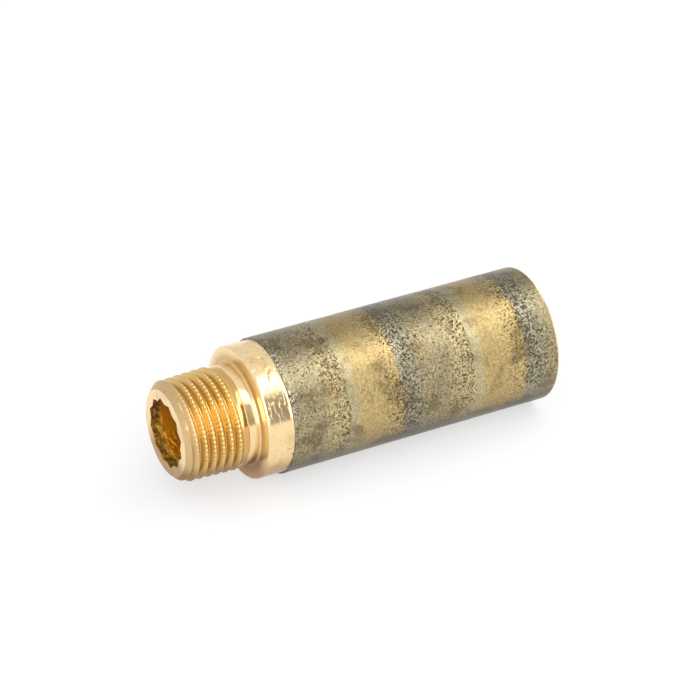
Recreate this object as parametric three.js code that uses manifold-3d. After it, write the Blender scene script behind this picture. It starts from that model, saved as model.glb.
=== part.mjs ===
// A male-to-female threaded pipe extension, lying on its side: one turned and bored metal bar.
//
// Units are millimetres and +Z is up. The bar's axis is the X axis. The male end faces -X and
// the female end faces +X, and the origin is on the axis, halfway along the bar. Places along
// the bar are stations: the distance from the male end's face.
//
// Every round surface is made of SEGMENTS flat facets. A stated radius is the distance from the
// axis to the middle of a facet, so the bar measures its true diameter across flats, and it
// rests on a flat.

import * as THREE from 'three';
import { mergeVertices } from 'three/addons/utils/BufferGeometryUtils.js';
import Module from 'manifold-3d';

const SEGMENTS = 32;
const ROUNDING_STEPS = 4;
const TURN = 2 * Math.PI;
const PHASE = Math.PI / SEGMENTS;
const FACET = 1 / Math.cos(PHASE);
const OVERRUN = 1;
const SPARE_TURNS = 2;

// The bar.
const STUB_LENGTH = 15.7;
const BODY_LENGTH = 65.3;
const LENGTH = STUB_LENGTH + BODY_LENGTH;
const BODY_RADIUS = 13.8;
const BORE_RADIUS = 6.1;

// The half-inch pipe thread: the Whitworth form, 14 threads to the inch.
const PITCH = 25.4 / 14;
const THREAD_DEPTH = 0.640327 * PITCH;
const FLANK_ANGLE = THREE.MathUtils.degToRad(27.5);
const FLANK_WIDTH = THREAD_DEPTH * Math.tan(FLANK_ANGLE);
const FLAT_WIDTH = PITCH / 2 - FLANK_WIDTH;
const MAJOR_RADIUS = 20.955 / 2;
const MINOR_RADIUS = MAJOR_RADIUS - THREAD_DEPTH;

// The male end. Its thread tapers one in sixteen on the diameter, and is full size at the gauge
// station. The crests are rolled slightly below full height.
const TAPER = 1 / 32;
const GAUGE_STATION = 8.2;
const CREST_LOSS = 0.05;
const MALE_FACE_RADIUS = 8.8;
const MALE_CREST_STATION = 1.75;
const THREAD_END = 12.3;
const RUN_OUT_LENGTH = 1.4;
const RUN_OUT_SLOPE = 0.6;
const NECK_RADIUS = 10.05;
const SHANK_STATION = 13.1;
const SHANK_RADIUS = 10.25;
const SHANK_CHAMFER = 0.15;

// The twelve-point mouth for a 12 mm key: two hexagons, one turned by 30 degrees. No point is at
// the top: the nearest ones are half a step to each side of it.
const KEY_WIDTH = 12.4;
const KEY_POINTS = 12;
const KEY_DEPTH = 1.8;
const HEXAGON_HALF_SIDE = Math.PI / 6;

// The shoulder and the turned land next to it.
const FILLET_RADIUS = 0.5;
const RIM_RADIUS = 0.5;
const LAND_RADIUS = 13.45;
const LAND_WIDTH = 5.5;
const LAND_STEP = 0.15;
const EDGE_CHAMFER = 0.25;

// The female end: a drilled socket with a parallel thread, and a 118 degree drill point.
const ENTRY_RADIUS = 10.9;
const SOCKET_THREAD = 15;
const SOCKET_DEPTH = 17;
const SOCKET_TIP_RADIUS = 5.4;
const DRILL_SLOPE = Math.tan(THREE.MathUtils.degToRad(59));

const wasm = await Module();
wasm.setup();

// Turn a closed geometry into a solid. Points that coincide are joined, and the triangles that
// this leaves without an area are dropped.
function solid(geometry) {
  const bare = geometry.clone();
  bare.deleteAttribute('normal');
  bare.deleteAttribute('uv');
  const merged = mergeVertices(bare);
  const corners = merged.index.array;
  const triangles = [];
  for (let i = 0; i < corners.length; i += 3) {
    const [a, b, c] = corners.slice(i, i + 3);
    if (a !== b && b !== c && c !== a) triangles.push(a, b, c);
  }
  const vertProperties = new Float32Array(merged.attributes.position.array);
  const triVerts = new Uint32Array(triangles);
  return new wasm.Manifold(new wasm.Mesh({ numProp: 3, vertProperties, triVerts }));
}

function geometryOf(manifold) {
  const mesh = manifold.getMesh();
  const geometry = new THREE.BufferGeometry();
  geometry.setAttribute('position', new THREE.BufferAttribute(mesh.vertProperties, 3));
  geometry.setIndex(new THREE.BufferAttribute(mesh.triVerts, 1));
  return geometry;
}

// A point of a lathe profile: x is the radius, y is the station.
const onProfile = (station, radius) => new THREE.Vector2(radius * FACET, station);

// Spin a profile about the bar's axis. It starts and ends on the axis.
function turned(profile) {
  const geometry = new THREE.LatheGeometry(profile, SEGMENTS, PHASE);
  return geometry.rotateZ(-Math.PI / 2);
}

// A quarter round of a profile. It rises from (station, radius) by size both ways: hollow, it
// leaves along the axis, and otherwise it leaves straight out.
function quarterRound(station, radius, size, hollow) {
  const points = [];
  for (let step = 0; step <= ROUNDING_STEPS; step += 1) {
    const angle = (step / ROUNDING_STEPS) * (Math.PI / 2);
    const early = size * Math.sin(angle);
    const late = size * (1 - Math.cos(angle));
    const [along, outward] = hollow ? [early, late] : [late, early];
    points.push(onProfile(station + along, radius + outward));
  }
  return points;
}

// A right-hand screw between two stations. The rows of the lathe follow the thread: each row
// slides along the axis by one pitch as it goes round once, so it meets the row one pitch on.
// crest and root give the radius at a station, and agree with each other at both ends.
function screw({ start, end, crestStation, crest, root }) {
  const pitchRows = [
    { offset: -FLAT_WIDTH / 2, radiusAt: crest },
    { offset: FLAT_WIDTH / 2, radiusAt: crest },
    { offset: FLAT_WIDTH / 2 + FLANK_WIDTH, radiusAt: root },
    { offset: FLAT_WIDTH / 2 + FLANK_WIDTH + FLAT_WIDTH, radiusAt: root },
  ];
  const firstTurn = Math.floor((start - crestStation) / PITCH) - SPARE_TURNS;
  const lastTurn = Math.ceil((end - crestStation) / PITCH) + SPARE_TURNS;
  const rows = [];
  for (let count = firstTurn; count <= lastTurn; count += 1) {
    for (const { offset, radiusAt } of pitchRows) {
      rows.push({ station: crestStation + count * PITCH + offset, radiusAt });
    }
  }
  const threadProfile = rows.map(({ station }) => onProfile(station, 1));
  const profile = [onProfile(start, 0), ...threadProfile, onProfile(end, 0)];
  const geometry = new THREE.LatheGeometry(profile, SEGMENTS, PHASE);
  const position = geometry.attributes.position;
  for (let column = 0; column <= SEGMENTS; column += 1) {
    const angle = PHASE + ((column % SEGMENTS) / SEGMENTS) * TURN;
    rows.forEach((row, index) => {
      const slid = row.station + (column / SEGMENTS) * PITCH;
      const station = THREE.MathUtils.clamp(slid, start, end);
      const radius = row.radiusAt(station) * FACET;
      const vertex = column * profile.length + index + 1;
      position.setXYZ(vertex, radius * Math.sin(angle), station, radius * Math.cos(angle));
    });
  }
  return geometry.rotateZ(-Math.PI / 2);
}

// The male thread: chamfered at the face, tapered, and running out into the neck.
function maleThread() {
  const taperedCrest = (station) => MAJOR_RADIUS - CREST_LOSS + (station - GAUGE_STATION) * TAPER;
  const chamfer = (station) => MALE_FACE_RADIUS + station;
  const runOut = (station) => NECK_RADIUS + Math.max(0, THREAD_END - station) * RUN_OUT_SLOPE;
  const crest = (station) => Math.min(taperedCrest(station), chamfer(station), runOut(station));
  const root = (station) => {
    const shallowing = THREE.MathUtils.smoothstep(station, THREAD_END - RUN_OUT_LENGTH, THREAD_END);
    const full = taperedCrest(station) - THREAD_DEPTH;
    return Math.min(THREE.MathUtils.lerp(full, NECK_RADIUS, shallowing), crest(station));
  };
  return screw({
    start: 0,
    end: SHANK_STATION + OVERRUN,
    crestStation: MALE_CREST_STATION,
    crest,
    root,
  });
}

// Everything behind the thread: shank, fillet, shoulder, land and the long cast body.
function barBehindThread() {
  const landEnd = STUB_LENGTH + LAND_WIDTH;
  return turned([
    onProfile(SHANK_STATION, 0),
    onProfile(SHANK_STATION, SHANK_RADIUS - SHANK_CHAMFER),
    onProfile(SHANK_STATION + SHANK_CHAMFER, SHANK_RADIUS),
    ...quarterRound(STUB_LENGTH - FILLET_RADIUS, SHANK_RADIUS, FILLET_RADIUS, true),
    ...quarterRound(STUB_LENGTH, LAND_RADIUS - RIM_RADIUS, RIM_RADIUS, false),
    onProfile(landEnd - LAND_STEP, LAND_RADIUS),
    onProfile(landEnd, BODY_RADIUS),
    onProfile(LENGTH - EDGE_CHAMFER, BODY_RADIUS),
    onProfile(LENGTH, BODY_RADIUS - EDGE_CHAMFER),
    onProfile(LENGTH, 0),
  ]);
}

// The socket's cavity: entry chamfer, parallel thread, plain bottom and drill point.
function socketCavity() {
  const drillTip = LENGTH - SOCKET_DEPTH - (MINOR_RADIUS - SOCKET_TIP_RADIUS) / DRILL_SLOPE;
  const threadStop = LENGTH - SOCKET_THREAD;
  const entry = (station) => ENTRY_RADIUS + station - LENGTH;
  const drillPoint = (station) => SOCKET_TIP_RADIUS + (station - drillTip) * DRILL_SLOPE;
  const shaped = (station, radius) => Math.min(Math.max(radius, entry(station)), drillPoint(station));
  const crest = (station) => {
    const rising = THREE.MathUtils.smoothstep(station, threadStop - PITCH, threadStop);
    return shaped(station, THREE.MathUtils.lerp(MINOR_RADIUS, MAJOR_RADIUS, rising));
  };
  return screw({
    start: drillTip,
    end: LENGTH + OVERRUN,
    crestStation: LENGTH,
    crest,
    root: (station) => shaped(station, MINOR_RADIUS),
  });
}

function boreCavity() {
  return turned([
    onProfile(-OVERRUN, 0),
    onProfile(-OVERRUN, BORE_RADIUS),
    onProfile(LENGTH - OVERRUN, BORE_RADIUS),
    onProfile(LENGTH - OVERRUN, 0),
  ]);
}

// The twelve-point key mouth, cut into the male face.
function keyCavity() {
  const outer = KEY_WIDTH / 2 / Math.cos(HEXAGON_HALF_SIDE);
  const inner = KEY_WIDTH / 2 / Math.cos(HEXAGON_HALF_SIDE / 2);
  const outline = new THREE.Shape();
  const corners = [];
  for (let corner = 0; corner < 2 * KEY_POINTS; corner += 1) {
    const radius = corner % 2 === 0 ? inner : outer;
    const angle = (corner / (2 * KEY_POINTS)) * TURN;
    corners.push(new THREE.Vector2(radius * Math.cos(angle), radius * Math.sin(angle)));
  }
  outline.setFromPoints(corners);
  const geometry = new THREE.ExtrudeGeometry(outline, {
    depth: KEY_DEPTH + OVERRUN,
    steps: 1,
    bevelEnabled: false,
  });
  return geometry.rotateY(Math.PI / 2).translate(-OVERRUN, 0, 0);
}

function extensionBody() {
  const outside = solid(maleThread()).add(solid(barBehindThread()));
  const cavity = solid(boreCavity()).add(solid(socketCavity())).add(solid(keyCavity()));
  const geometry = geometryOf(outside.subtract(cavity));
  const gunmetal = new THREE.MeshStandardMaterial({ color: 0xb9965a, roughness: 0.4, metalness: 1 });
  const mesh = new THREE.Mesh(geometry, gunmetal);
  mesh.name = 'extension_body';
  mesh.position.x = -LENGTH / 2;
  return mesh;
}

const pipeExtension = new THREE.Group();
pipeExtension.name = 'threaded_pipe_extension';
pipeExtension.add(extensionBody());

export default pipeExtension;
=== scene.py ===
import math

import bmesh
import bpy
import numpy as np
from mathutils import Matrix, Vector, noise


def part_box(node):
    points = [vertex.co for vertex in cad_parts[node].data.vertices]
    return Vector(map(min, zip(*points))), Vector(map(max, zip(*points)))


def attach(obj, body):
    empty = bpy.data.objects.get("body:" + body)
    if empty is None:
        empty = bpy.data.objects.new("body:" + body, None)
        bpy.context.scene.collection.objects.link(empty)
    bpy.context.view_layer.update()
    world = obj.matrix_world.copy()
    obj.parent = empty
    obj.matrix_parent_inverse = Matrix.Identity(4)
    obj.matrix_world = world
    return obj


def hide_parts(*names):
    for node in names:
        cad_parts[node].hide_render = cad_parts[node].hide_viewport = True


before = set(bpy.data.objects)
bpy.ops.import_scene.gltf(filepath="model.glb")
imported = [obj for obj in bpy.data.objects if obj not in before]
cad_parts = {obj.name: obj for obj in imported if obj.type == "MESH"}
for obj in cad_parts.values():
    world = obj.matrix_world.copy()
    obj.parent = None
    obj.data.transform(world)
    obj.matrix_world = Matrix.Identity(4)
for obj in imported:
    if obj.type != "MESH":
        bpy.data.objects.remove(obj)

# The looks of a threaded pipe extension: one turned and bored metal bar, lying on its side.
# Shape sizes are in millimetres. A station is a distance along the bar from its male face, and
# an angle goes round the bar from the top towards -Y. The mesh is in metres, in the frame of
# the CAD model.

MM = 0.001
TURN = 2 * math.pi
NODE = "extension_body"

low_corner, high_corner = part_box(NODE)
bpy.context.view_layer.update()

# The bar.
LENGTH = (high_corner.x - low_corner.x) / MM
BODY_RADIUS = (high_corner.z - low_corner.z) / 2 / MM
STUB_LENGTH = 15.7
BORE_RADIUS = 6.1

# The half-inch pipe thread: the Whitworth form, 14 threads to the inch.
PITCH = 25.4 / 14
THREAD_DEPTH = 0.640327 * PITCH
CREST_ROUNDING = 0.137329 * PITCH
ROUNDING_ANGLE = math.radians(62.5)
MAJOR_RADIUS = 20.955 / 2
MINOR_RADIUS = MAJOR_RADIUS - THREAD_DEPTH

# The male thread. It starts with a chamfer at the face and runs out into the neck.
TAPER = 1 / 32
GAUGE_STATION = 8.2
CREST_LOSS = 0.05
MALE_FACE_RADIUS = 8.8
MALE_CREST_STATION = 1.75
THREAD_LEAD_IN = 2.4
THREAD_END = 12.3
RUN_OUT_LENGTH = 1.4
RUN_OUT_SLOPE = 0.6

# The notches across its crests, shallower by the face. They fade out before the thread's end.
NOTCHES_PER_TURN = 66.3
NOTCH_DEPTH = 0.2
NOTCH_SHARPNESS = 1.5
NOTCH_SHARE_AT_FACE = 0.45
NOTCHES_GROW_FROM, NOTCHES_GROW_TO = 1.5, 4.5
NOTCHES_FADE_FROM, NOTCHES_FADE_TO = THREAD_END - 0.9, THREAD_END - 0.3

# The neck and the shank behind the thread.
NECK_RADIUS = 10.05
SHANK_STATION = 13.1
SHANK_STEP = 0.12
SHANK_RADIUS = 10.25
FILLET_RADIUS = 0.5

# The twelve-point key mouth, with torn metal behind its notches and chips on its bottom.
KEY_WIDTH = 12.4
KEY_DEPTH = 1.8
KEY_DEPTH_SPREAD = 0.5
MOUTH_LENGTH = 5
MOUTH_FLARE = 0.06
MOUTH_FLARE_LENGTH = 0.12
TORN_HEIGHT = 0.35
CHIP_HEIGHT = 0.30
LUMPS_AROUND = 8.0
LUMPS_ALONG = 2.4

# The shoulder and the turned land. The land ends in a small burr along a wavy edge.
LAND_RADIUS = 13.45
LAND_WIDTH = 5.5
LAND_END = STUB_LENGTH + LAND_WIDTH
LAND_BURR = 0.06
BURR_WIDTH = 0.1
RIM_RADIUS = 0.5
EDGE_WAVE = 0.10
EXTRA_WAVE_UNDERNEATH = 0.45

# The cast skin. Its relief is a smooth noise that fades out before the rounded edge.
SKIN_STEP = 0.05
SKIN_START = LAND_END + 0.8
SKIN_RELIEF = 0.03
SKIN_RELIEF_FADE = 0.8
SKIN_WAVES = 5.5
SKIN_STRETCH = 0.35
EDGE_ROUNDING = 0.35

# The female end. The drill point narrows from the socket to the bore, which it meets at its tip.
ENTRY_RADIUS = 10.9
SOCKET_THREAD = 15
SOCKET_DEPTH = 17
DRILL_SLOPE = math.tan(math.radians(59))
DRILL_TIP = LENGTH - SOCKET_DEPTH - (MINOR_RADIUS - BORE_RADIUS) / DRILL_SLOPE

# How finely the mesh is made. Columns are counted round the bar, and rows are its rings.
ROUND_COLUMNS = 216
THREAD_COLUMNS = 594
SOCKET_COLUMNS = 144
SPARE_TURNS = 2
CREST_POINTS = 5
ROOT_POINTS = 4
MOUTH_ROWS = 36
BORE_ROWS = 14
SHOULDER_ROWS = 6
LAND_ROWS = 10
SKIN_ROWS = 110
FEMALE_FACE_ROWS = 5
ARC_STEPS = 8
EDGE_STEPS = 6
ROW_GAP = 0.2
CORNER_GAP = 0.1
BURR_GAP = 0.6
MERGE_DISTANCE = 0.001
SHARP_ANGLE = math.radians(38)

# The finish of each face, in the order of the mesh's materials.
FINISHES = ("turned", "threaded", "skin", "bored")


# ---------------------------------------------------------------------------------------------
# Shape
# ---------------------------------------------------------------------------------------------


def smoothstep(value, start, end):
    share = np.clip((value - start) / (end - start), 0, 1)
    return share * share * (3 - 2 * share)


def angles(columns):
    return np.arange(columns) * TURN / columns


def place(station, radius, angle):
    """Points in millimetres, in the frame of the CAD model."""
    station, radius, angle = np.broadcast_arrays(station, radius, angle)
    x = station - LENGTH / 2
    return np.stack([x, -radius * np.sin(angle), radius * np.cos(angle)], axis=-1)


def ring(station, radius, columns=ROUND_COLUMNS):
    return place(station, radius, angles(columns))


def rings(profile, columns=ROUND_COLUMNS):
    return np.stack([ring(station, radius, columns) for station, radius in profile])


def arc(centre, radius, start, end, steps=ARC_STEPS):
    """Points (station, radius) of an arc; its angles start at the +X side and turn outwards."""
    return [
        (centre[0] + radius * math.cos(turn), centre[1] + radius * math.sin(turn))
        for turn in np.linspace(start, end, steps + 1)
    ]


def ring_noise(angle, waves, layer):
    """Noise round a ring. More waves make it busier, and it changes smoothly with the layer."""
    points = [Vector((waves * math.cos(a), waves * math.sin(a), layer)) for a in angle]
    return np.array([noise.noise(point) for point in points])


class Shell:
    """Gathers the faces of one mesh, each with a finish."""

    def __init__(self):
        self.points = []
        self.faces = []
        self.finishes = []
        self.count = 0

    def add(self, points):
        first = self.count
        self.points.append(points.reshape(-1, 3))
        self.count += points.size // 3
        return first + np.arange(points.size // 3).reshape(points.shape[:-1])

    def loft(self, rows, finish, joined=True):
        """Joins each row of points to the next one. Joined rows are closed rings."""
        index = self.add(rows)
        after = np.roll(index, -1, axis=1) if joined else index[:, 1:]
        here = index if joined else index[:, :-1]
        corners = [here[:-1], after[:-1], after[1:], here[1:]]
        quads = np.stack(corners, axis=-1).reshape(-1, 4)
        self.faces.extend(quads.tolist())
        self.finishes.extend([FINISHES.index(finish)] * len(quads))

    def stitch(self, ring_a, ring_b, finish):
        """Joins two rings with different numbers of points."""
        a, b = self.add(ring_a), self.add(ring_b)
        i = j = 0
        while i < len(a) or j < len(b):
            if (i + 1) / len(a) <= (j + 1) / len(b):
                self.faces.append((a[i], a[(i + 1) % len(a)], b[j % len(b)]))
                i += 1
            else:
                self.faces.append((a[i % len(a)], b[(j + 1) % len(b)], b[j]))
                j += 1
            self.finishes.append(FINISHES.index(finish))

    def build(self, name):
        mesh = bpy.data.meshes.new(name)
        points = np.concatenate(self.points) * MM
        faces = [tuple(int(k) for k in face) for face in self.faces]
        mesh.from_pydata(points.tolist(), [], faces)
        mesh.polygons.foreach_set("material_index", self.finishes)
        work = bmesh.new()
        work.from_mesh(mesh)
        bmesh.ops.remove_doubles(work, verts=work.verts, dist=MERGE_DISTANCE * MM)
        bmesh.ops.recalc_face_normals(work, faces=work.faces)
        work.to_mesh(mesh)
        work.free()
        mesh.polygons.foreach_set("use_smooth", [True] * len(mesh.polygons))
        mesh.set_sharp_from_angle(angle=SHARP_ANGLE)
        return mesh


def thread_form():
    """The rounded thread form across one pitch: offsets from a crest, and heights from 0 to 1."""
    crest_turns = np.linspace(-ROUNDING_ANGLE, ROUNDING_ANGLE, CREST_POINTS)
    root_turns = np.linspace(-ROUNDING_ANGLE, ROUNDING_ANGLE, ROOT_POINTS)
    offsets = CREST_ROUNDING * np.concatenate([np.sin(crest_turns), np.sin(root_turns)])
    offsets[CREST_POINTS:] += PITCH / 2
    drop = CREST_ROUNDING * (1 - np.cos(crest_turns)) / THREAD_DEPTH
    rise = CREST_ROUNDING * (1 - np.cos(root_turns)) / THREAD_DEPTH
    return offsets, np.concatenate([1 - drop, rise])


def screw(start, end, crest_station, crest, root, columns, ceiling=None):
    """Rows of a right-hand thread between two stations.

    Each row follows the thread, so it slides along by one pitch as it goes round once. crest
    and root give the radius at a station, and agree at both ends. ceiling cuts the crests down.
    """
    offsets, heights = thread_form()
    first_turn = math.floor((start - crest_station) / PITCH) - SPARE_TURNS
    last_turn = math.ceil((end - crest_station) / PITCH) + SPARE_TURNS
    counts = np.arange(first_turn, last_turn)
    first = (crest_station + counts[:, None] * PITCH + offsets).reshape(-1, 1)
    height = np.tile(heights, len(counts)).reshape(-1, 1)
    turn = np.arange(columns + 1) / columns
    station = np.clip(first + PITCH * turn, start, end)
    angle = TURN * (np.arange(columns + 1) % columns) / columns
    radius = root(station) + (crest(station) - root(station)) * height
    if ceiling:
        radius = np.minimum(radius, ceiling(station, angle))
    return place(station, radius, angle)


def crest_radius(station):
    """The radius of the male thread's crests."""
    return MAJOR_RADIUS - CREST_LOSS + (station - GAUGE_STATION) * TAPER


def notched_crest(station, angle):
    """The radius that the notches leave of the male thread's crests."""
    growing = smoothstep(station, NOTCHES_GROW_FROM, NOTCHES_GROW_TO)
    strength = NOTCH_SHARE_AT_FACE + (1 - NOTCH_SHARE_AT_FACE) * growing
    strength = strength * (1 - smoothstep(station, NOTCHES_FADE_FROM, NOTCHES_FADE_TO))
    turns_before = np.round((station - MALE_CREST_STATION) / PITCH - angle / TURN)
    wave = np.cos(NOTCHES_PER_TURN * (angle + TURN * turns_before)) * 0.5 + 0.5
    return crest_radius(station) - NOTCH_DEPTH * strength * wave**NOTCH_SHARPNESS


def male_thread():
    """The tapered thread, from its chamfer at the face to its run-out into the neck."""

    def crest(station):
        chamfer = MALE_FACE_RADIUS + station
        run_out = NECK_RADIUS + np.maximum(0, THREAD_END - station) * RUN_OUT_SLOPE
        return np.minimum(np.minimum(crest_radius(station), chamfer), run_out)

    def root(station):
        shallowing = smoothstep(station, THREAD_END - RUN_OUT_LENGTH, THREAD_END)
        full = crest_radius(station) - THREAD_DEPTH * smoothstep(station, 0, THREAD_LEAD_IN)
        return np.minimum(full + (NECK_RADIUS - full) * shallowing, crest(station))

    return screw(0, SHANK_STATION, MALE_CREST_STATION, crest, root, THREAD_COLUMNS, notched_crest)


def socket_thread():
    """The socket: entry chamfer, parallel thread, plain bottom and drill point."""
    thread_stop = LENGTH - SOCKET_THREAD

    def shaped(station, radius):
        entry = ENTRY_RADIUS + station - LENGTH
        drill_point = BORE_RADIUS + (station - DRILL_TIP) * DRILL_SLOPE
        return np.minimum(np.maximum(radius, entry), drill_point)

    def crest(station):
        rising = smoothstep(station, thread_stop - PITCH, thread_stop)
        return shaped(station, MINOR_RADIUS + (MAJOR_RADIUS - MINOR_RADIUS) * rising)

    def root(station):
        return shaped(station, MINOR_RADIUS)

    return screw(DRILL_TIP, LENGTH, LENGTH, crest, root, SOCKET_COLUMNS)


def key_radius(angle):
    """The outline of two hexagons, one turned by 30 degrees, with no point at the top."""

    def hexagon(turn):
        return KEY_WIDTH / 2 / np.cos((turn % (TURN / 6)) - TURN / 12)

    return np.maximum(hexagon(angle + TURN / 24), hexagon(angle - TURN / 24))


def key_mouth():
    """Rings of the twelve-point mouth, from the bore out to the face.

    The notches end at uneven depths, in torn metal, and chips are left on the bottom of the bore.
    """
    angle = angles(ROUND_COLUMNS)
    outline = key_radius(angle)
    depth = KEY_DEPTH + KEY_DEPTH_SPREAD * ring_noise(angle, waves=2.5, layer=4.0)
    below = smoothstep(-np.cos(angle), 0.2, 0.8)
    rows = []
    for station in np.linspace(MOUTH_LENGTH, MOUTH_FLARE_LENGTH, MOUTH_ROWS):
        lumps = np.maximum(ring_noise(angle, LUMPS_AROUND, station * LUMPS_ALONG), 0)
        notched = 1 - smoothstep(station, depth - 0.45, depth + 0.25)
        behind_face = smoothstep(station, 0.5, 1.2)
        torn = behind_face * (1 - smoothstep(station, KEY_DEPTH + 0.2, KEY_DEPTH + 0.7))
        before_bore = 1 - smoothstep(station, MOUTH_LENGTH - 1.2, MOUTH_LENGTH)
        chipped = below * behind_face * before_bore
        height = lumps * np.maximum(TORN_HEIGHT * torn, CHIP_HEIGHT * chipped)
        rows.append(place(station, BORE_RADIUS + (outline - BORE_RADIUS) * notched - height, angle))
    rows.append(place(0.0, outline + MOUTH_FLARE, angle))
    return np.stack(rows)


def land_edge(angle):
    """The station where the cast skin starts: a wavy edge, and more so on the underside."""
    underneath = smoothstep(-np.cos(angle), 0.1, 0.7)
    waves = ring_noise(angle, waves=4.0, layer=7.3)
    return LAND_END + waves * (EDGE_WAVE + EXTRA_WAVE_UNDERNEATH * underneath)


def shank_and_land():
    """Rings from the shank, over the fillet and the shoulder, to the end of the land."""
    fillet_top = SHANK_RADIUS + FILLET_RADIUS
    shoulder_edge = LAND_RADIUS - RIM_RADIUS
    land_start = STUB_LENGTH + RIM_RADIUS
    shoulder = np.linspace(fillet_top + ROW_GAP, shoulder_edge - CORNER_GAP, SHOULDER_ROWS)
    land = np.linspace(land_start + ROW_GAP, LAND_END - BURR_GAP, LAND_ROWS)
    profile = [(SHANK_STATION + step, SHANK_RADIUS) for step in (SHANK_STEP, ROW_GAP)]
    profile += arc((STUB_LENGTH - FILLET_RADIUS, fillet_top), FILLET_RADIUS, -math.pi / 2, 0)
    profile += [(STUB_LENGTH, radius) for radius in shoulder]
    profile += arc((land_start, shoulder_edge), RIM_RADIUS, math.pi, math.pi / 2)
    profile += [(station, LAND_RADIUS) for station in land]
    angle = angles(ROUND_COLUMNS)
    edge = land_edge(angle)
    burr = [
        place(edge - BURR_WIDTH, LAND_RADIUS, angle),
        place(edge - 0.3 * BURR_WIDTH, LAND_RADIUS + LAND_BURR / 3, angle),
        place(edge, LAND_RADIUS + LAND_BURR, angle),
    ]
    return np.concatenate([rings(profile), burr])


def skin_relief(station, angle):
    """How far the cast skin stands out of true on one ring."""
    sides = [(SKIN_WAVES * math.cos(a), SKIN_WAVES * math.sin(a)) for a in angle]
    points = [Vector((station * SKIN_STRETCH, *side)) for side in sides]
    bumps = np.array([noise.fractal(point, 1.0, 2.0, 3) for point in points])
    fade = float(smoothstep(LENGTH - EDGE_ROUNDING - station, 0, SKIN_RELIEF_FADE))
    return SKIN_RELIEF * bumps * fade


def cast_skin():
    """Rings of the cast body, slightly uneven, as it came out of the mould."""
    angle = angles(ROUND_COLUMNS)
    edge = land_edge(angle)
    rows = [place(edge, LAND_RADIUS + LAND_BURR, angle)]
    rows.append(place(edge + SKIN_STEP, BODY_RADIUS, angle))
    for station in np.linspace(SKIN_START, LENGTH - EDGE_ROUNDING, SKIN_ROWS):
        rows.append(place(station, BODY_RADIUS + skin_relief(station, angle), angle))
    return np.stack(rows)


def female_face():
    """Rings of the rounded edge and the flat end face round the socket."""
    edge = BODY_RADIUS - EDGE_ROUNDING
    corner = (LENGTH - EDGE_ROUNDING, edge)
    profile = arc(corner, EDGE_ROUNDING, math.pi / 2, 0, EDGE_STEPS)
    face = np.linspace(edge - CORNER_GAP, ENTRY_RADIUS, FEMALE_FACE_ROWS)
    profile += [(LENGTH, radius) for radius in face]
    return rings(profile)


def bar_mesh():
    """The whole bar as one mesh, from the male thread over the outside and back inside."""
    shell = Shell()
    shell.loft(male_thread(), "threaded", joined=False)
    shank = shank_and_land()
    shell.stitch(ring(SHANK_STATION, NECK_RADIUS, THREAD_COLUMNS), shank[0], "turned")
    shell.loft(shank, "turned")
    shell.loft(cast_skin(), "skin")
    shell.loft(female_face(), "turned")
    # The socket's thread ends 0.001 mm outside this rim, and the two don't join all the way round.
    socket_rim = ring(LENGTH, ENTRY_RADIUS - MERGE_DISTANCE, SOCKET_COLUMNS)
    shell.stitch(ring(LENGTH, ENTRY_RADIUS), socket_rim, "turned")
    shell.loft(socket_thread()[::-1], "bored", joined=False)
    bore_end = DRILL_TIP - ROW_GAP
    drill_rim = ring(DRILL_TIP, BORE_RADIUS, SOCKET_COLUMNS)
    shell.stitch(drill_rim, ring(bore_end, BORE_RADIUS), "bored")
    bore = np.linspace(bore_end, MOUTH_LENGTH, BORE_ROWS)
    shell.loft(rings([(station, BORE_RADIUS) for station in bore]), "bored")
    mouth = key_mouth()
    shell.loft(mouth, "bored")
    shell.stitch(mouth[-1], ring(0, MALE_FACE_RADIUS, THREAD_COLUMNS), "turned")
    return shell.build("pipe_extension")


# ---------------------------------------------------------------------------------------------
# Materials
# ---------------------------------------------------------------------------------------------

# Turned metal.
TURNED_DEEP = (0.86, 0.62, 0.32, 1)
TURNED_PALE = (0.96, 0.755, 0.435, 1)
WARM_TINT = (0.62, 0.36, 0.13, 1)
# Painted shade in the corner between the fillet and the shoulder.
CORNER_SHADE_TINT = (0.56, 0.34, 0.12, 1)
PIT = (0.38, 0.22, 0.07, 1)
# Painted shade on the underside of the turned and threaded metal.
UNDERSIDE_SHADE_TINT = (0.50, 0.40, 0.30, 1)

# The male thread.
THREAD_DEEP = (0.64, 0.415, 0.132, 1)
THREAD_PALE = (0.80, 0.545, 0.215, 1)
# Painted shade in the thread roots, darker and more orange.
THREAD_ROOT_SHADE = (0.53, 0.31, 0.08, 1)
THREAD_FRONT = (0.61, 0.435, 0.22, 1)
THREAD_NECK = (0.65, 0.40, 0.145, 1)

# The bore and the socket.
BORE_DEEP = (0.60, 0.235, 0.005, 1)
BORE_PALE = (0.74, 0.335, 0.011, 1)
# The notches' dirt with painted shade, darker in the upper half.
UPPER_NOTCH_DIRT_AND_SHADE = (0.075, 0.020, 0.001, 1)
NOTCH_METAL = (0.27, 0.12, 0.014, 1)
LOWER_NOTCH_DIRT_AND_SHADE = (0.14, 0.060, 0.002, 1)
CHIP_METAL = (0.46, 0.25, 0.030, 1)
SOCKET_DEEP = (0.46, 0.31, 0.13, 1)
SOCKET_PALE = (0.60, 0.43, 0.20, 1)

# The cast skin.
PALE_GOLD = (0.410, 0.356, 0.205, 1)
SMOOTH_GOLD = (0.435, 0.322, 0.138, 1)
BLUE_GREY = (0.295, 0.265, 0.180, 1)
BROWN_GREY = (0.310, 0.258, 0.146, 1)
MOTTLED_GOLD = (0.415, 0.336, 0.172, 1)
UMBER = (0.125, 0.090, 0.040, 1)
RUST = (0.30, 0.14, 0.04, 1)
SPECK = (0.042, 0.034, 0.014, 1)
SCUFF = (0.72, 0.70, 0.62, 1)

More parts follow.
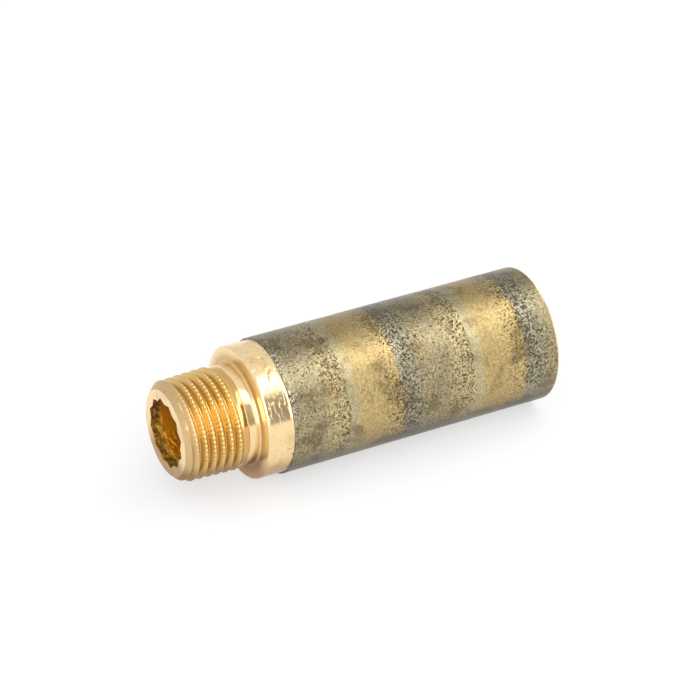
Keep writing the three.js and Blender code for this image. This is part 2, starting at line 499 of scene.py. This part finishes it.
# The bands of the cast skin: where one starts, and how long each is. The two lists run along one
# band, from 0 at its start to 1 at its end, and give the ground's colour and how dense the dark
# specks are.
BAND_START = 33.5
BAND_PERIOD = 28.2
BAND_COLOURS = [
    (0.0, PALE_GOLD),
    (0.03, PALE_GOLD),
    (0.10, SMOOTH_GOLD),
    (0.405, SMOOTH_GOLD),
    (0.43, BLUE_GREY),
    (0.53, BLUE_GREY),
    (0.60, BROWN_GREY),
    (0.78, BROWN_GREY),
    (0.88, MOTTLED_GOLD),
    (1.0, MOTTLED_GOLD),
]
BAND_SPECKS = [
    (0.0, 0.0),
    (0.22, 0.05),
    (0.30, 0.5),
    (0.40, 0.85),
    (0.44, 1.0),
    (0.53, 0.9),
    (0.62, 0.55),
    (0.78, 0.5),
    (0.90, 0.75),
    (0.995, 0.9),
    (1.0, 0.0),
]

# A speck is where the noise is over a threshold, which drops as the specks get denser.
SPARSE_THRESHOLD = 0.68
THRESHOLD_DROP = 0.185
SPECK_CONTRAST = 16.0

# The share of its brightness that the skin keeps under painted shade: over the top and behind, and
# underneath.
TOP_AND_BACK_SHADE_SHARE = 0.68
UNDERSIDE_SHADE_SHARE = 0.46

# Where painted underside shade begins and where it is full, as shares of the radius above the axis.
METAL_UNDERSIDE_SHADE = (-0.25, -0.70)
SKIN_UNDERSIDE_SHADE = (-0.38, -0.68)

# How much rougher the thread is by the end face, and how much smoother by the neck.
ROUGHER_FRONT = 0.22
SMOOTHER_NECK = 0.12

# How deep the marks are, in millimetres.
DENT_DEPTH = 0.09
SCRATCH_DEPTH = 0.02
PIT_DEPTH = 0.03
TURNING_DEPTH = 0.004
THREADING_DEPTH = 0.006
DRILLING_DEPTH = 0.01
SPECK_DEPTH = 0.04


def x_at(station):
    """The x of a station, in metres."""
    return (station - LENGTH / 2) * MM


class Nodes:
    """A short way to write the nodes of a material or of the world."""

    def __init__(self, owner, shader):
        owner.use_nodes = True
        self.owner = owner
        self.tree = owner.node_tree
        self.shader = self.tree.nodes[shader]

    def add(self, kind, inputs=None, **settings):
        node = self.tree.nodes.new(kind)
        for key, value in settings.items():
            setattr(node, key, value)
        for key, value in (inputs or {}).items():
            self.put(value, node.inputs[key])
        return node

    def put(self, value, socket):
        if isinstance(value, bpy.types.NodeSocket):
            self.tree.links.new(value, socket)
        else:
            socket.default_value = value

    def shade(self, name, value):
        """Sets one of the shader's own sockets."""
        self.put(value, self.shader.inputs[name])

    def math(self, operation, *values):
        node = self.add("ShaderNodeMath", operation=operation)
        for socket, value in zip(node.inputs, values):
            self.put(value, socket)
        return node.outputs[0]

    def times(self, value, *factors):
        for factor in factors:
            value = self.math("MULTIPLY", value, factor)
        return value

    def opposite(self, share):
        """1 where the share is 0, and 0 where it is 1."""
        return self.math("SUBTRACT", 1.0, share)

    def clamped(self, value):
        """The value, kept from 0 to 1."""
        return self.add("ShaderNodeClamp", {"Value": value}).outputs[0]

    def between(self, value, low, high):
        """Rises smoothly from 0 at low to 1 at high."""
        inputs = {"Value": value, "From Min": low, "From Max": high}
        node = self.add("ShaderNodeMapRange", inputs, interpolation_type="SMOOTHSTEP")
        return node.outputs["Result"]

    def ramp(self, value, stops):
        """Goes through the stops, each a place from 0 to 1 and a colour or a number."""
        node = self.add("ShaderNodeValToRGB", {"Fac": value})
        elements = node.color_ramp.elements
        while len(elements) < len(stops):
            elements.new(0.5)
        for element, (place_on_ramp, colour) in zip(elements, stops):
            element.position = place_on_ramp
            element.color = colour if isinstance(colour, tuple) else (colour, colour, colour, 1)
        return node.outputs["Color"]

    def mix(self, share, a, b, blend="MIX"):
        node = self.add("ShaderNodeMix", data_type="RGBA", blend_type=blend)
        for name, value in (("Factor_Float", share), ("A_Color", a), ("B_Color", b)):
            self.put(value, next(s for s in node.inputs if s.identifier == name))
        return next(s for s in node.outputs if s.identifier == "Result_Color")

    def multiplied(self, colour, factor):
        """The colour multiplied by a number or another colour."""
        return self.mix(1.0, colour, factor, "MULTIPLY")

    def noise(self, vector, scale, detail=3.0, roughness=0.5):
        inputs = {"Vector": vector, "Scale": scale, "Detail": detail, "Roughness": roughness}
        return self.add("ShaderNodeTexNoise", inputs).outputs["Fac"]

    def patches(self, vector, scale, low, high, detail=3.0, roughness=0.5):
        """Noise as patches: 0 where it is under low, and 1 where it is over high."""
        return self.between(self.noise(vector, scale, detail, roughness), low, high)

    def scaled(self, value, factor):
        """Brings a noise value to factor times its distance from the middle."""
        return self.math("MULTIPLY", self.math("SUBTRACT", value, 0.5), factor)

    def combine(self, x, y=0.0, z=0.0):
        return self.add("ShaderNodeCombineXYZ", {"X": x, "Y": y, "Z": z}).outputs[0]

    def position(self):
        return self.add("ShaderNodeTexCoord").outputs["Object"]

    def split(self, vector):
        node = self.add("ShaderNodeSeparateXYZ", {"Vector": vector})
        return node.outputs["X"], node.outputs["Y"], node.outputs["Z"]

    def bar_coordinates(self, position):
        """The place along the bar and the distance from its axis, in metres."""
        x, y, z = self.split(position)
        squares = self.math("ADD", self.times(y, y), self.times(z, z))
        return x, self.math("SQRT", squares)

    def height(self, position):
        """The height above the bar's axis, in metres."""
        return self.split(position)[2]

    def around(self, position):
        """The way round the bar from the top towards +Y, in metres of its surface."""
        _, y, z = self.split(position)
        return self.times(self.math("ARCTAN2", y, z), BODY_RADIUS * MM)

    def angle(self, position):
        """The angle round the bar from the top towards -Y."""
        return self.math("DIVIDE", self.around(position), -BODY_RADIUS * MM)

    def underneath(self, position, out, colour):
        """Paints shade on the underside: darkens and warms a colour towards the bar's underside."""
        share = self.between(self.math("DIVIDE", self.height(position), out), *METAL_UNDERSIDE_SHADE)
        return self.mix(share, colour, self.multiplied(colour, UNDERSIDE_SHADE_TINT))

    def bump(self, height, depth, strength=1.0, normal=None):
        """A relief as deep as the given millimetres, on top of another one if normal is given."""
        inputs = {"Height": height, "Distance": depth * MM, "Strength": strength}
        if normal is not None:
            inputs["Normal"] = normal
        return self.add("ShaderNodeBump", inputs).outputs["Normal"]

    def lathe_grain(self, amount):
        """Stretches highlights along the bar, as fine rings do."""
        tangent = self.add("ShaderNodeTangent", direction_type="RADIAL", axis="X")
        self.shade("Tangent", tangent.outputs[0])
        self.shade("Anisotropic", amount)


def material_nodes(name):
    """The nodes of a new material."""
    return Nodes(bpy.data.materials.new(name), "Principled BSDF")


def turned_relief(nodes, position, on_land, pits):
    """Dents, scratches and pits on the land, and the tool's fine rings on every turned face."""
    along, out = nodes.bar_coordinates(position)
    knocks = nodes.patches(position, scale=620, low=0.50, high=0.72, detail=1.0, roughness=0.4)
    knocked_places = nodes.patches(position, scale=130, low=0.44, high=0.52, detail=1.0)
    dents = nodes.times(knocks, knocked_places, on_land)
    stretched = nodes.combine(along, nodes.times(nodes.around(position), 0.15))
    scratches = nodes.patches(stretched, scale=2600, low=0.60, high=0.66, detail=2.0)
    scratches = nodes.times(scratches, on_land)
    tool_marks = nodes.noise(nodes.combine(along, out), scale=9000, detail=2.0)
    relief = nodes.bump(dents, -DENT_DEPTH)
    relief = nodes.bump(scratches, -SCRATCH_DEPTH, strength=0.5, normal=relief)
    relief = nodes.bump(pits, -PIT_DEPTH, strength=0.6, normal=relief)
    return nodes.bump(tool_marks, TURNING_DEPTH, normal=relief)


def turned_metal():
    """Bright metal straight off the lathe. The land is knocked, scratched and pitted."""
    nodes = material_nodes("turned_gunmetal")
    position = nodes.position()
    along, out = nodes.bar_coordinates(position)
    on_land = nodes.between(along, x_at(STUB_LENGTH + 0.3), x_at(STUB_LENGTH + 0.7))
    near_shoulder = nodes.between(along, x_at(STUB_LENGTH - FILLET_RADIUS), x_at(STUB_LENGTH))
    painted_corner_shade = nodes.times(nodes.between(out, 12.9 * MM, 10.9 * MM), near_shoulder)
    cloud = nodes.noise(position, scale=330, detail=4.0, roughness=0.6)
    warm = nodes.patches(position, scale=210, low=0.52, high=0.66, roughness=0.6)
    pits = nodes.patches(position, scale=1500, low=0.63, high=0.69, detail=2.0, roughness=0.6)
    pits = nodes.times(pits, on_land)
    colour = nodes.mix(cloud, TURNED_DEEP, TURNED_PALE)
    colour = nodes.mix(nodes.times(warm, 0.35), colour, WARM_TINT)
    # Painted shade in the corner by the shoulder.
    colour = nodes.mix(nodes.times(painted_corner_shade, 0.85), colour, CORNER_SHADE_TINT)
    colour = nodes.mix(nodes.times(pits, 0.55), colour, PIT)
    # Painted shade on the underside.
    nodes.shade("Base Color", nodes.underneath(position, out, colour))
    nodes.shade("Metallic", 1.0)
    nodes.shade("Roughness", nodes.ramp(cloud, [(0.3, 0.12), (0.7, 0.20)]))
    nodes.shade("Normal", turned_relief(nodes, position, on_land, pits))
    nodes.lathe_grain(0.4)
    return nodes.owner


def threaded_metal():
    """Freshly cut thread: deeper gold than the turned faces, duller and greyer by the end face."""
    nodes = material_nodes("threaded_gunmetal")
    position = nodes.position()
    along, out = nodes.bar_coordinates(position)
    crest_at_middle = crest_radius(0) + LENGTH / 2 * TAPER
    crest = nodes.math("MULTIPLY_ADD", along, TAPER, crest_at_middle * MM)
    # Painted shade in the thread roots.
    painted_root_shade = nodes.between(nodes.math("SUBTRACT", crest, out), 0.4 * MM, 1.0 * MM)
    past_front = nodes.between(along, x_at(1.0), x_at(4.0))
    near_neck = nodes.between(along, x_at(THREAD_END - 0.6), x_at(THREAD_END))
    cloud = nodes.noise(position, scale=420)
    colour = nodes.mix(cloud, THREAD_DEEP, THREAD_PALE)
    colour = nodes.mix(nodes.times(painted_root_shade, 0.6), colour, THREAD_ROOT_SHADE)
    colour = nodes.mix(past_front, THREAD_FRONT, colour)
    colour = nodes.mix(near_neck, colour, THREAD_NECK)
    # Painted shade on the underside.
    nodes.shade("Base Color", nodes.underneath(position, out, colour))
    nodes.shade("Metallic", 1.0)
    soft_front = nodes.times(nodes.opposite(past_front), ROUGHER_FRONT)
    roughness = nodes.ramp(cloud, [(0.3, 0.20), (0.7, 0.28)])
    roughness = nodes.math("ADD", roughness, soft_front)
    roughness = nodes.math("SUBTRACT", roughness, nodes.times(near_neck, SMOOTHER_NECK))
    nodes.shade("Roughness", roughness)
    tool_marks = nodes.noise(nodes.combine(along, out), scale=7000, detail=2.0)
    nodes.shade("Normal", nodes.bump(tool_marks, THREADING_DEPTH))
    return nodes.owner


def bored_metal():
    """The bore and the socket, dull, with rings from the drill. The mouth's notches have dirt and
    painted shade.
    """
    nodes = material_nodes("bored_gunmetal")
    position = nodes.position()
    along, out = nodes.bar_coordinates(position)
    past_notches = nodes.between(along, x_at(KEY_DEPTH - 0.1), x_at(KEY_DEPTH + 0.5))
    socket_bottom = LENGTH - SOCKET_DEPTH
    in_socket = nodes.between(along, x_at(socket_bottom - 2), x_at(socket_bottom))
    in_lower_half = nodes.between(nodes.height(position), 1.5 * MM, -2.5 * MM)
    cloud = nodes.noise(position, scale=600, detail=4.0, roughness=0.6)
    clean = nodes.patches(position, scale=800, low=0.36, high=0.64, detail=4.0, roughness=0.7)
    wall = nodes.mix(cloud, BORE_DEEP, BORE_PALE)
    # The notches get dirt and painted shade, darker in the upper half.
    upper_notches = nodes.mix(clean, UPPER_NOTCH_DIRT_AND_SHADE, NOTCH_METAL)
    lower_notches = nodes.mix(clean, LOWER_NOTCH_DIRT_AND_SHADE, CHIP_METAL)
    notches = nodes.mix(in_lower_half, upper_notches, lower_notches)
    socket = nodes.mix(cloud, SOCKET_DEEP, SOCKET_PALE)
    nodes.shade("Base Color", nodes.mix(in_socket, nodes.mix(past_notches, notches, wall), socket))
    nodes.shade("Metallic", 0.6)
    nodes.shade("Roughness", 0.5)
    tool_marks = nodes.noise(nodes.combine(along, out), scale=3500)
    nodes.shade("Normal", nodes.bump(tool_marks, DRILLING_DEPTH))
    return nodes.owner


def band_phase(nodes, position, along):
    """The place in a band, from 0 to 1. The bands' borders wander a little and are ragged."""
    wander = nodes.scaled(nodes.noise(position, scale=110, detail=2.0), 0.06)
    ragged = nodes.scaled(nodes.noise(position, scale=1100, detail=2.0), 0.03)
    past_start = nodes.math("SUBTRACT", along, x_at(BAND_START))
    bands = nodes.math("DIVIDE", past_start, BAND_PERIOD * MM)
    return nodes.math("FRACT", nodes.math("ADD", bands, nodes.math("ADD", wander, ragged)))


def skin_grain(nodes, position, along):
    """Fine grain, a little of it brushed round the bar."""
    fine = nodes.noise(position, scale=2300, detail=4.0, roughness=0.7)
    stretched = nodes.combine(nodes.times(along, 6.0), nodes.around(position))
    brushed = nodes.noise(stretched, scale=420, roughness=0.6)
    return nodes.math("ADD", nodes.times(fine, 0.8), nodes.times(brushed, 0.2))


def skin_ground(nodes, position, phase, grain, density):
    """The bands' colours with stains and rust, broken up by the grain."""
    stains = nodes.patches(position, scale=190, low=0.50, high=0.66, detail=4.0, roughness=0.6)
    rusty = nodes.patches(position, scale=150, low=0.53, high=0.68, detail=5.0, roughness=0.65)
    ground = nodes.mix(nodes.times(stains, 0.6), nodes.ramp(phase, BAND_COLOURS), UMBER)
    ground = nodes.mix(nodes.times(rusty, 0.4), ground, nodes.mix(0.5, ground, RUST))
    calm = nodes.ramp(grain, [(0.30, 0.54), (0.70, 1.48)])
    lively = nodes.ramp(grain, [(0.36, 0.15), (0.64, 1.85)])
    return nodes.multiplied(ground, nodes.mix(density, calm, lively))


def skin_painted_shade(nodes, position, ground):
    """Paints shade on the ground: darker over the top and behind, away from the lit front, and
    underneath.
    """
    angle = nodes.angle(position)
    # Painted light on the front, and painted shade over the top and behind.
    painted_lit_front = nodes.times(nodes.between(angle, 0.06, 0.66), nodes.between(angle, 2.2, 1.6))
    ground = nodes.multiplied(ground, nodes.ramp(painted_lit_front, [(0.0, TOP_AND_BACK_SHADE_SHARE), (1.0, 1.0)]))
    # Painted shade on the underside.
    begins, full = (share * BODY_RADIUS * MM for share in SKIN_UNDERSIDE_SHADE)
    underside = nodes.between(nodes.height(position), begins, full)
    return nodes.multiplied(ground, nodes.ramp(underside, [(0.0, 1.0), (1.0, UNDERSIDE_SHADE_SHARE)]))


def skin_specks(nodes, position, density):
    """Dark specks, larger and closer together where they are denser."""
    cells = nodes.noise(position, scale=1950, roughness=0.6)
    threshold = nodes.math("SUBTRACT", SPARSE_THRESHOLD, nodes.times(density, THRESHOLD_DROP))
    return nodes.clamped(nodes.times(nodes.math("SUBTRACT", cells, threshold), SPECK_CONTRAST))


def skin_scuffs(nodes, position, along):
    """Thin pale scratches on the upper front of the skin, just past the land."""
    stretched = nodes.combine(nodes.times(along, 1.6), nodes.times(nodes.around(position), 0.5))
    streaks = nodes.patches(stretched, scale=2400, low=0.56, high=0.64, roughness=0.6)
    near_land = nodes.opposite(nodes.between(along, x_at(LAND_END + 0.5), x_at(LAND_END + 2.6)))
    angle = nodes.angle(position)
    in_front = nodes.times(nodes.between(angle, -0.3, 0.2), nodes.between(angle, 1.4, 1.0))
    return nodes.times(streaks, near_land, in_front)


def cast_metal():
    """The skin of the casting, in bands that repeat along the bar.

    A band is smooth gold, then gold with dark specks, then blue-grey and brown-grey, then mottled
    gold with dense specks up to a sharp edge, where the next band starts.
    """
    nodes = material_nodes("cast_skin")
    position = nodes.position()
    along = nodes.split(position)[0]
    phase = band_phase(nodes, position, along)
    grain = skin_grain(nodes, position, along)
    washed = nodes.patches(position, scale=120, low=0.54, high=0.66, roughness=0.6)
    kept = nodes.opposite(nodes.times(washed, 0.6))
    density = nodes.times(nodes.ramp(phase, BAND_SPECKS), kept)
    specks = skin_specks(nodes, position, density)
    ground = skin_ground(nodes, position, phase, grain, density)
    # Shade is painted over the top, behind and underneath.
    colour = nodes.mix(specks, skin_painted_shade(nodes, position, ground), SPECK)
    colour = nodes.mix(skin_scuffs(nodes, position, along), colour, SCUFF)
    nodes.shade("Base Color", colour)
    nodes.shade("Metallic", nodes.ramp(specks, [(0.0, 0.8), (1.0, 0.4)]))
    nodes.shade("Roughness", nodes.ramp(grain, [(0.35, 0.30), (0.65, 0.39)]))
    relief = nodes.math("SUBTRACT", nodes.scaled(grain, 0.5), specks)
    nodes.shade("Normal", nodes.bump(relief, SPECK_DEPTH, strength=0.6))
    return nodes.owner


# ---------------------------------------------------------------------------------------------
# Studio. Its sizes are in metres, and its directions point from the bar.
# ---------------------------------------------------------------------------------------------

CAMERA_AZIMUTH = math.radians(-28.5)
CAMERA_ELEVATION = math.radians(30.6)
CAMERA_DISTANCE = 0.643
CAMERA_LENS = 166.4
CAMERA_RAISE = 0.0063
CAMERA_RIGHT = 0.00013

FLOOR_HALF_WIDTH = 3.0
FLOOR_GLOW = 0.59
FLOOR_GREY = (0.32, 0.32, 0.32, 1)
WHITE = (1, 1, 1, 1)

# The surroundings, by how bright they are behind the bar, in front of it and at the horizon. The
# darker part of the room reaches up to ROOM_HEIGHT, between its left and its right. These three
# and the band are parts of a direction that is 1 long.
BACK_RADIANCE = 0.86
FRONT_RADIANCE = 1.12
HORIZON_RADIANCE = 0.952
HORIZON_BAND = 0.12
ROOM_RADIANCE = 0.36
ROOM_HEIGHT = 0.70
ROOM_LEFT = 0.25
ROOM_RIGHT = 0.62


def make_camera():
    """A camera in front of the bar, to its left and above it."""
    a, e = CAMERA_AZIMUTH, CAMERA_ELEVATION
    back = Vector((math.sin(a) * math.cos(e), -math.cos(a) * math.cos(e), math.sin(e)))
    turn = back.to_track_quat("Z", "Y")
    data = bpy.data.cameras.new("camera")
    data.lens = CAMERA_LENS
    camera = bpy.data.objects.new("camera", data)
    camera.rotation_mode = "QUATERNION"
    camera.rotation_quaternion = turn
    camera.location = back * CAMERA_DISTANCE + turn @ Vector((CAMERA_RIGHT, CAMERA_RAISE, 0))
    bpy.context.collection.objects.link(camera)
    bpy.context.scene.camera = camera


def make_floor():
    """A pale floor that also glows, which keeps it white."""
    mesh = bpy.data.meshes.new("floor")
    reach = FLOOR_HALF_WIDTH
    sides = ((-reach, -reach), (reach, -reach), (reach, reach), (-reach, reach))
    mesh.from_pydata([(x, y, low_corner.z) for x, y in sides], [], [(0, 1, 2, 3)])
    floor = bpy.data.objects.new("floor", mesh)
    bpy.context.collection.objects.link(floor)
    nodes = material_nodes("floor")
    nodes.shade("Base Color", FLOOR_GREY)
    nodes.shade("Roughness", 1.0)
    nodes.shade("Emission Color", WHITE)
    nodes.shade("Emission Strength", FLOOR_GLOW)
    mesh.materials.append(nodes.owner)


def make_surroundings():
    """A white studio with a darker part of the room in front of it, to the right of the camera."""
    nodes = Nodes(bpy.data.worlds.new("studio"), "Background")
    bpy.context.scene.world = nodes.owner
    x, y, z = nodes.split(nodes.add("ShaderNodeTexCoord").outputs["Generated"])
    in_front = nodes.math("LESS_THAN", y, 0.0)
    below_top = nodes.math("LESS_THAN", z, ROOM_HEIGHT)
    past_left = nodes.math("GREATER_THAN", x, ROOM_LEFT)
    before_right = nodes.math("LESS_THAN", x, ROOM_RIGHT)
    room = nodes.times(in_front, below_top, past_left, before_right)
    frontness = nodes.math("MULTIPLY_ADD", y, -0.5, 0.5)
    upper = nodes.math("MULTIPLY_ADD", frontness, FRONT_RADIANCE - BACK_RADIANCE, BACK_RADIANCE)
    above_band = nodes.math("SUBTRACT", z, HORIZON_BAND)
    above_horizon = nodes.clamped(nodes.times(above_band, 1 / HORIZON_BAND))
    change = nodes.math("SUBTRACT", upper, HORIZON_RADIANCE)
    studio = nodes.math("MULTIPLY_ADD", above_horizon, change, HORIZON_RADIANCE)
    studio = nodes.times(studio, nodes.opposite(room))
    nodes.shade("Strength", nodes.math("ADD", studio, nodes.times(room, ROOM_RADIANCE)))
    nodes.shade("Color", WHITE)


def make_softbox(name, toward, distance, size, radiance):
    """A rectangular light that faces the bar. Size is its width and height."""
    data = bpy.data.lights.new(name, "AREA")
    data.shape = "RECTANGLE"
    data.size, data.size_y = size
    data.energy = radiance * math.pi * data.size * data.size_y
    softbox = bpy.data.objects.new(name, data)
    toward = Vector(toward).normalized()
    softbox.location = toward * distance
    softbox.rotation_mode = "QUATERNION"
    softbox.rotation_quaternion = toward.to_track_quat("Z", "Y")
    bpy.context.collection.objects.link(softbox)


def make_bar():
    """The bar with its materials, in the order of FINISHES."""
    mesh = bar_mesh()
    for material in (turned_metal(), threaded_metal(), cast_metal(), bored_metal()):
        mesh.materials.append(material)
    bar = bpy.data.objects.new("pipe_extension", mesh)
    bpy.context.collection.objects.link(bar)
    return bar


make_camera()
make_floor()
make_surroundings()

# A long box overhead, a large one in front, and a tall one low on the right.
make_softbox("key", toward=(0.41, -0.267, 0.872), distance=0.9, size=(1.5, 0.24), radiance=2.5)
make_softbox("fill", toward=(-0.25, -0.88, 0.42), distance=1.3, size=(1.4, 1.1), radiance=2.2)
make_softbox("side", toward=(0.66, -0.66, 0.36), distance=0.60, size=(0.24, 0.56), radiance=1.0)
bpy.context.scene.view_settings.view_transform = "Standard"

bar = make_bar()
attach(bar, "root")
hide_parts(NODE)
